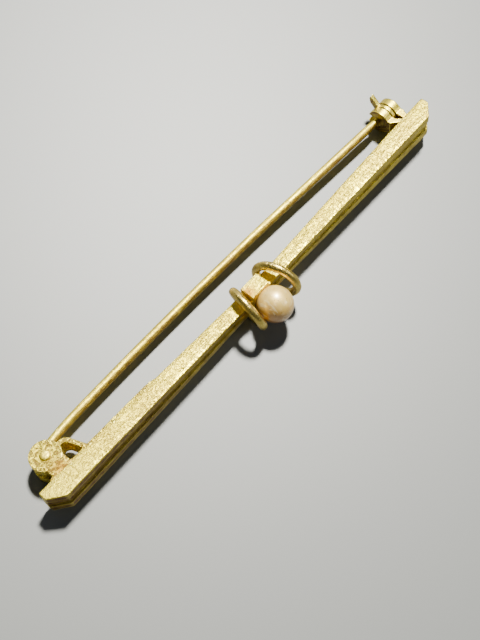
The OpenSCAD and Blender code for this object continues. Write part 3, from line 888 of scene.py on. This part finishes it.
collar_mesh = soldered(
    [disc(COLLAR_R, collar_x, collar_x + collar_w),
     disc(HUB_R, CATCH_X + hub_in, catch_end - hub_in),
     plate(LEVER_SIDE, lever_x, lever_x + LEVER_W, "X")],
    grain=0.025, rubs=4, carve=[plate(pin_way(), CATCH_X - 1, catch_end + 1, "X")],
)
# painted shade on the collar's faces that look towards the hinge, away from the light
mark_dark(collar_mesh, hinge_side(1.2))
finish_piece("collar_and_lever", collar_mesh, CATCH_GOLD, "gold", "catch_collar", "catch_collar")

# %% [markdown]
# The pin is one wire. Near the hinge it bends sharply away, then it bows very
# gently all the way to the catch, where it thins to a point. Its middle line
# is worked out here, with the thickness stored on each point, and a tree
# sweeps a circle along it. The knuckle at its root is a small turned drum,
# bored for the rivet. The side towards the bar is darkened by painted shade.

# %% The pin
PIN_R, THIN_END_R, POINT_R = 0.4, 0.24, 0.05
KNEE_X, KNEE_R, EASE_X, EASE_Y, BOW_X = -21.0, 1.1, -18.0, 4.13, 8.0
SLOPE_ROOT, SLOPE_KNEE, SLOPE_EASE, SLOPE_TIP = radians(50), radians(6.4), radians(1), radians(2.55)
THIN_X, TIP_X, POINT_L, ROOT_L = 19.5, 22.9, 1.0, 0.5
RIVET_R, RIVET_ROOM = 0.27, 0.05
PIN_DARK, DARK_FROM, DARK_OVER = 0.85, 0.3, 0.45


def bend(end, r, slope_from, slope_to, steps):
    """Points along a bend that ends at a point, from one slope down to another."""
    middle = np.array(end) + r * np.array((sin(slope_to), -cos(slope_to)))
    return [middle + r * np.array((-sin(a), cos(a)))
            for a in np.linspace(slope_from, slope_to, steps)]


def pin_line():
    """Rows of (x, y, radius) along the middle of the pin wire."""
    ease_r = (EASE_X - KNEE_X) / (sin(SLOPE_KNEE) - sin(SLOPE_EASE))
    eased = bend((EASE_X, EASE_Y), ease_r, SLOPE_KNEE, SLOPE_EASE, 16)
    sharp = bend(eased[0], KNEE_R, SLOPE_ROOT, SLOPE_KNEE, 14)
    root = sharp[0] - ROOT_L * np.array((cos(SLOPE_ROOT), sin(SLOPE_ROOT)))
    bow_r = (BOW_X - EASE_X) / (sin(SLOPE_EASE) + sin(SLOPE_TIP))
    middle = np.array((EASE_X, EASE_Y)) + bow_r * np.array((sin(SLOPE_EASE), -cos(SLOPE_EASE)))
    bowed = [middle + bow_r * np.array((-sin(a), cos(a)))
             for a in np.linspace(SLOPE_EASE, -SLOPE_TIP, 100)[1:]]
    rows = [(*p, PIN_R) for p in [root] + sharp + eased[1:] + bowed]
    x, y, _ = rows[-1]
    way = np.array((1.0, -tan(SLOPE_TIP)))
    thin_from, thin_to = THIN_X - BOW_X, TIP_X - BOW_X - POINT_L
    for far in (*np.linspace(1, thin_from, 24), *np.linspace(thin_from, thin_to, 8)[1:]):
        thinned = max(0.0, (far - thin_from) / (thin_to - thin_from))
        rows.append((*(np.array((x, y)) + way * far), PIN_R + (THIN_END_R - PIN_R) * thinned))
    for share in np.linspace(0, 1, 10)[1:]:
        r = THIN_END_R * sqrt(max(0.0, 1 - share**1.6)) + POINT_R * share
        rows.append((*(np.array((x, y)) + way * (thin_to + POINT_L * share)), r))
    return rows


def make_pin_tree():
    """A round wire swept along a line of points that carry its radius."""
    tree, given, made = shape_tree("pin_wire", {"Wear": 0.02})
    line = node(tree, "GeometryNodeMeshToCurve")
    tree.links.new(given.outputs["Shape"], line.inputs["Mesh"])
    wire = node(tree, "GeometryNodeCurvePrimitiveCircle")
    wire.inputs["Resolution"].default_value = 32
    wire.inputs["Radius"].default_value = 1.0
    sweep = node(tree, "GeometryNodeCurveToMesh")
    sweep.inputs["Fill Caps"].default_value = True
    tree.links.new(line.outputs[0], sweep.inputs["Curve"])
    tree.links.new(wire.outputs[0], sweep.inputs["Profile Curve"])
    tree.links.new(named(tree, "thick"), sweep.inputs["Scale"])
    worn = roughed(tree, sweep.outputs[0], given.outputs["Wear"], 0.7, 7.0)
    finish_tree(tree, worn, given, made)
    return tree


line = pin_line()
line_mesh = bpy.data.meshes.new("work")
steps = [(i, i + 1) for i in range(len(line) - 1)]
line_mesh.from_pydata([(x, y, 0) for x, y, _ in line], steps, [])
line_mesh.attributes.new("thick", "FLOAT", "POINT").data.foreach_set("value", [r for *_, r in line])
wire_mesh = grown(line_mesh, make_pin_tree(), Finish=PIN_GOLD)

drum = plate(circle(-HINGE_X, HINGE_Y, KNUCKLE_R, n=72), -KNUCKLE_H, KNUCKLE_H)
bore = plate(circle(-HINGE_X, HINGE_Y, RIVET_R + RIVET_ROOM, n=48), -1, 1)
face_outwards(wire_mesh, soldered([drum], rubs=4, carve=[bore]))
# painted shade on the side of the wire that faces the bar
mark_dark(wire_mesh, lambda out: PIN_DARK * min(1, max(0, (-out.y - DARK_FROM) / DARK_OVER)))
finish_piece("pin_wire", wire_mesh, PIN_GOLD, "pin_gold", "pin", "pin")

# %% [markdown]
# The rivet is turned: a shaft through both cheeks with a low round head on
# each side. A profile is drawn once and spun round the rivet's axis.

# %% The hinge rivet
HEAD_R, HEAD_H, RIVET_PLAY = 0.48, 0.22, 0.01


def spun(profile, cx, cy, n=64):
    """A closed solid from (radius, height) points spun round a line along Z."""
    verts = [(cx, cy, profile[0][1])]
    for r, z in profile[1:-1]:
        verts += [(x, y, z) for x, y in circle(cx, cy, r, n=n)]
    verts.append((cx, cy, profile[-1][1]))
    rings, last = len(profile) - 2, len(verts) - 1
    faces = [(0, 1 + (i + 1) % n, 1 + i) for i in range(n)]
    for j in range(rings - 1):
        a, b = 1 + j * n, 1 + (j + 1) * n
        faces += [(a + i, a + (i + 1) % n, b + (i + 1) % n, b + i) for i in range(n)]
    a = 1 + (rings - 1) * n
    faces += [(a + i, a + (i + 1) % n, last) for i in range(n)]
    return closed(verts, faces)


head_base = CHEEK_OUT + RIVET_PLAY
HEAD_FLAT = 4.0
dome = [(HEAD_R * sin(pi / 2 * k / 12),
         head_base + HEAD_H * (1 - sin(pi / 2 * k / 12) ** HEAD_FLAT) ** 0.5) for k in range(12)]
rim = [(HEAD_R, head_base + 0.03), (HEAD_R, head_base + 0.005), (RIVET_R, head_base + 0.002)]
upper = dome + rim
profile = upper + [(r, -z) for r, z in upper[::-1]]
rivet_mesh = spun(profile, -HINGE_X, HINGE_Y)
finish_piece("hinge_rivet_head", rivet_mesh, PIN_GOLD, "pin_gold", "brooch", "hinge_rivet")

# %% [markdown]
# The pearl is not quite round and not one colour. It goes from cream to a
# deep honey tone, which partly wanders at random and is partly painted shade
# and a painted warm reflection on the side turned away from the light. Its
# lustre comes from thin layers that mirror light a little as metal does, so
# the skin is partly metallic, with a faint glow from inside and a clear gloss
# on top. Fine worn lines cross it.

# %% The pearl
def make_pearl():
    """The pearl's skin."""
    material, tree = shade_tree("pearl_lustre")
    own = node(tree, "ShaderNodeTexCoord").outputs["Object"]
    centre = LAY_DOWN @ Vector((-PEARL_OFF, -PEARL_FRONT, 0))
    shift = node(tree, "ShaderNodeVectorMath", operation="SUBTRACT")
    tree.links.new(own, shift.inputs[0])
    shift.inputs[1].default_value = centre
    where = stretched(tree, shift.outputs[0], (1 / MM, 1 / MM, 1 / MM))
    # painted shade and painted warm reflection: the colour deepens to honey on the side turned away
    # from the light, with a random wander
    side = node(tree, "ShaderNodeVectorMath", operation="DOT_PRODUCT")
    tree.links.new(where, side.inputs[0])
    side.inputs[1].default_value = (-0.62, -0.42, -0.66)
    wander = cloud(tree, where, 0.9, 2)
    tone_with_painted_shade = spread(tree, maths(tree, "MULTIPLY_ADD", wander, 1.4, side.outputs["Value"]),
                   -0.1, 1.9)
    colour = tint(tree, tone_with_painted_shade, (0.92, 0.64, 0.16, 1), (0.45, 0.17, 0.015, 1))
    patch = spread(tree, cloud(tree, where, 2.2, 4), 0.5, 0.68)
    colour = tint(tree, maths(tree, "MULTIPLY", patch, 0.3), colour, (0.95, 0.74, 0.34, 1))
    across = spread(tree, cloud(tree, stretched(tree, where, (5, 0.6, 1)), 1.3, 3), 0.6, 0.63)
    down = spread(tree, cloud(tree, stretched(tree, where, (0.6, 1.5, 6)), 1.1, 3), 0.62, 0.65)
    line = maths(tree, "MAXIMUM", across, down)
    colour = tint(tree, maths(tree, "MULTIPLY", line, 0.4), colour, (1, 0.88, 0.55, 1))
    pit = spread(tree, cloud(tree, where, 6, 2), 0.66, 0.72)
    colour = tint(tree, maths(tree, "MULTIPLY", pit, 0.6), colour, (0.3, 0.12, 0.02, 1))
    dull = maths(tree, "MULTIPLY_ADD", patch, 0.1, 0.46)
    bump = node(tree, "ShaderNodeBump")
    bump.inputs["Strength"].default_value = 0.25
    bump.inputs["Distance"].default_value = 0.03 * MM
    feed(tree, bump.inputs["Height"], maths(tree, "ADD", patch, line))
    shader = node(tree, "ShaderNodeBsdfPrincipled")
    shader.inputs["Metallic"].default_value = 0.45
    shader.inputs["Subsurface Weight"].default_value = 0.06
    shader.inputs["Subsurface Radius"].default_value = (1.0, 0.7, 0.4)
    shader.inputs["Subsurface Scale"].default_value = 0.4 * MM
    shader.inputs["Coat Weight"].default_value = 1.0
    shader.inputs["Coat Roughness"].default_value = 0.28
    shader.inputs["Coat IOR"].default_value = 1.9
    tree.links.new(colour, shader.inputs["Base Color"])
    tree.links.new(dull, shader.inputs["Roughness"])
    tree.links.new(bump.outputs[0], shader.inputs["Normal"])
    out = node(tree, "ShaderNodeOutputMaterial")
    tree.links.new(shader.outputs[0], out.inputs[0])
    return material


ball = bmesh.new()
bmesh.ops.create_icosphere(ball, subdivisions=6, radius=1.0)
pearl_mesh = bpy.data.meshes.new("work")
ball.to_mesh(pearl_mesh)
ball.free()
for v in pearl_mesh.vertices:
    d = v.co.normalized()
    dent = 0.012 * (sin(2.3 * d.x + 1.1) + sin(3.1 * d.y + 0.4) + sin(2.7 * d.z)) - 0.036
    v.co = d * PEARL_R * (1 + dent * 0.5) + Vector((-PEARL_OFF, -PEARL_FRONT, 0))
finish_piece("pearl_ball", pearl_mesh, make_pearl(), "pearl", "brooch", "pearl")
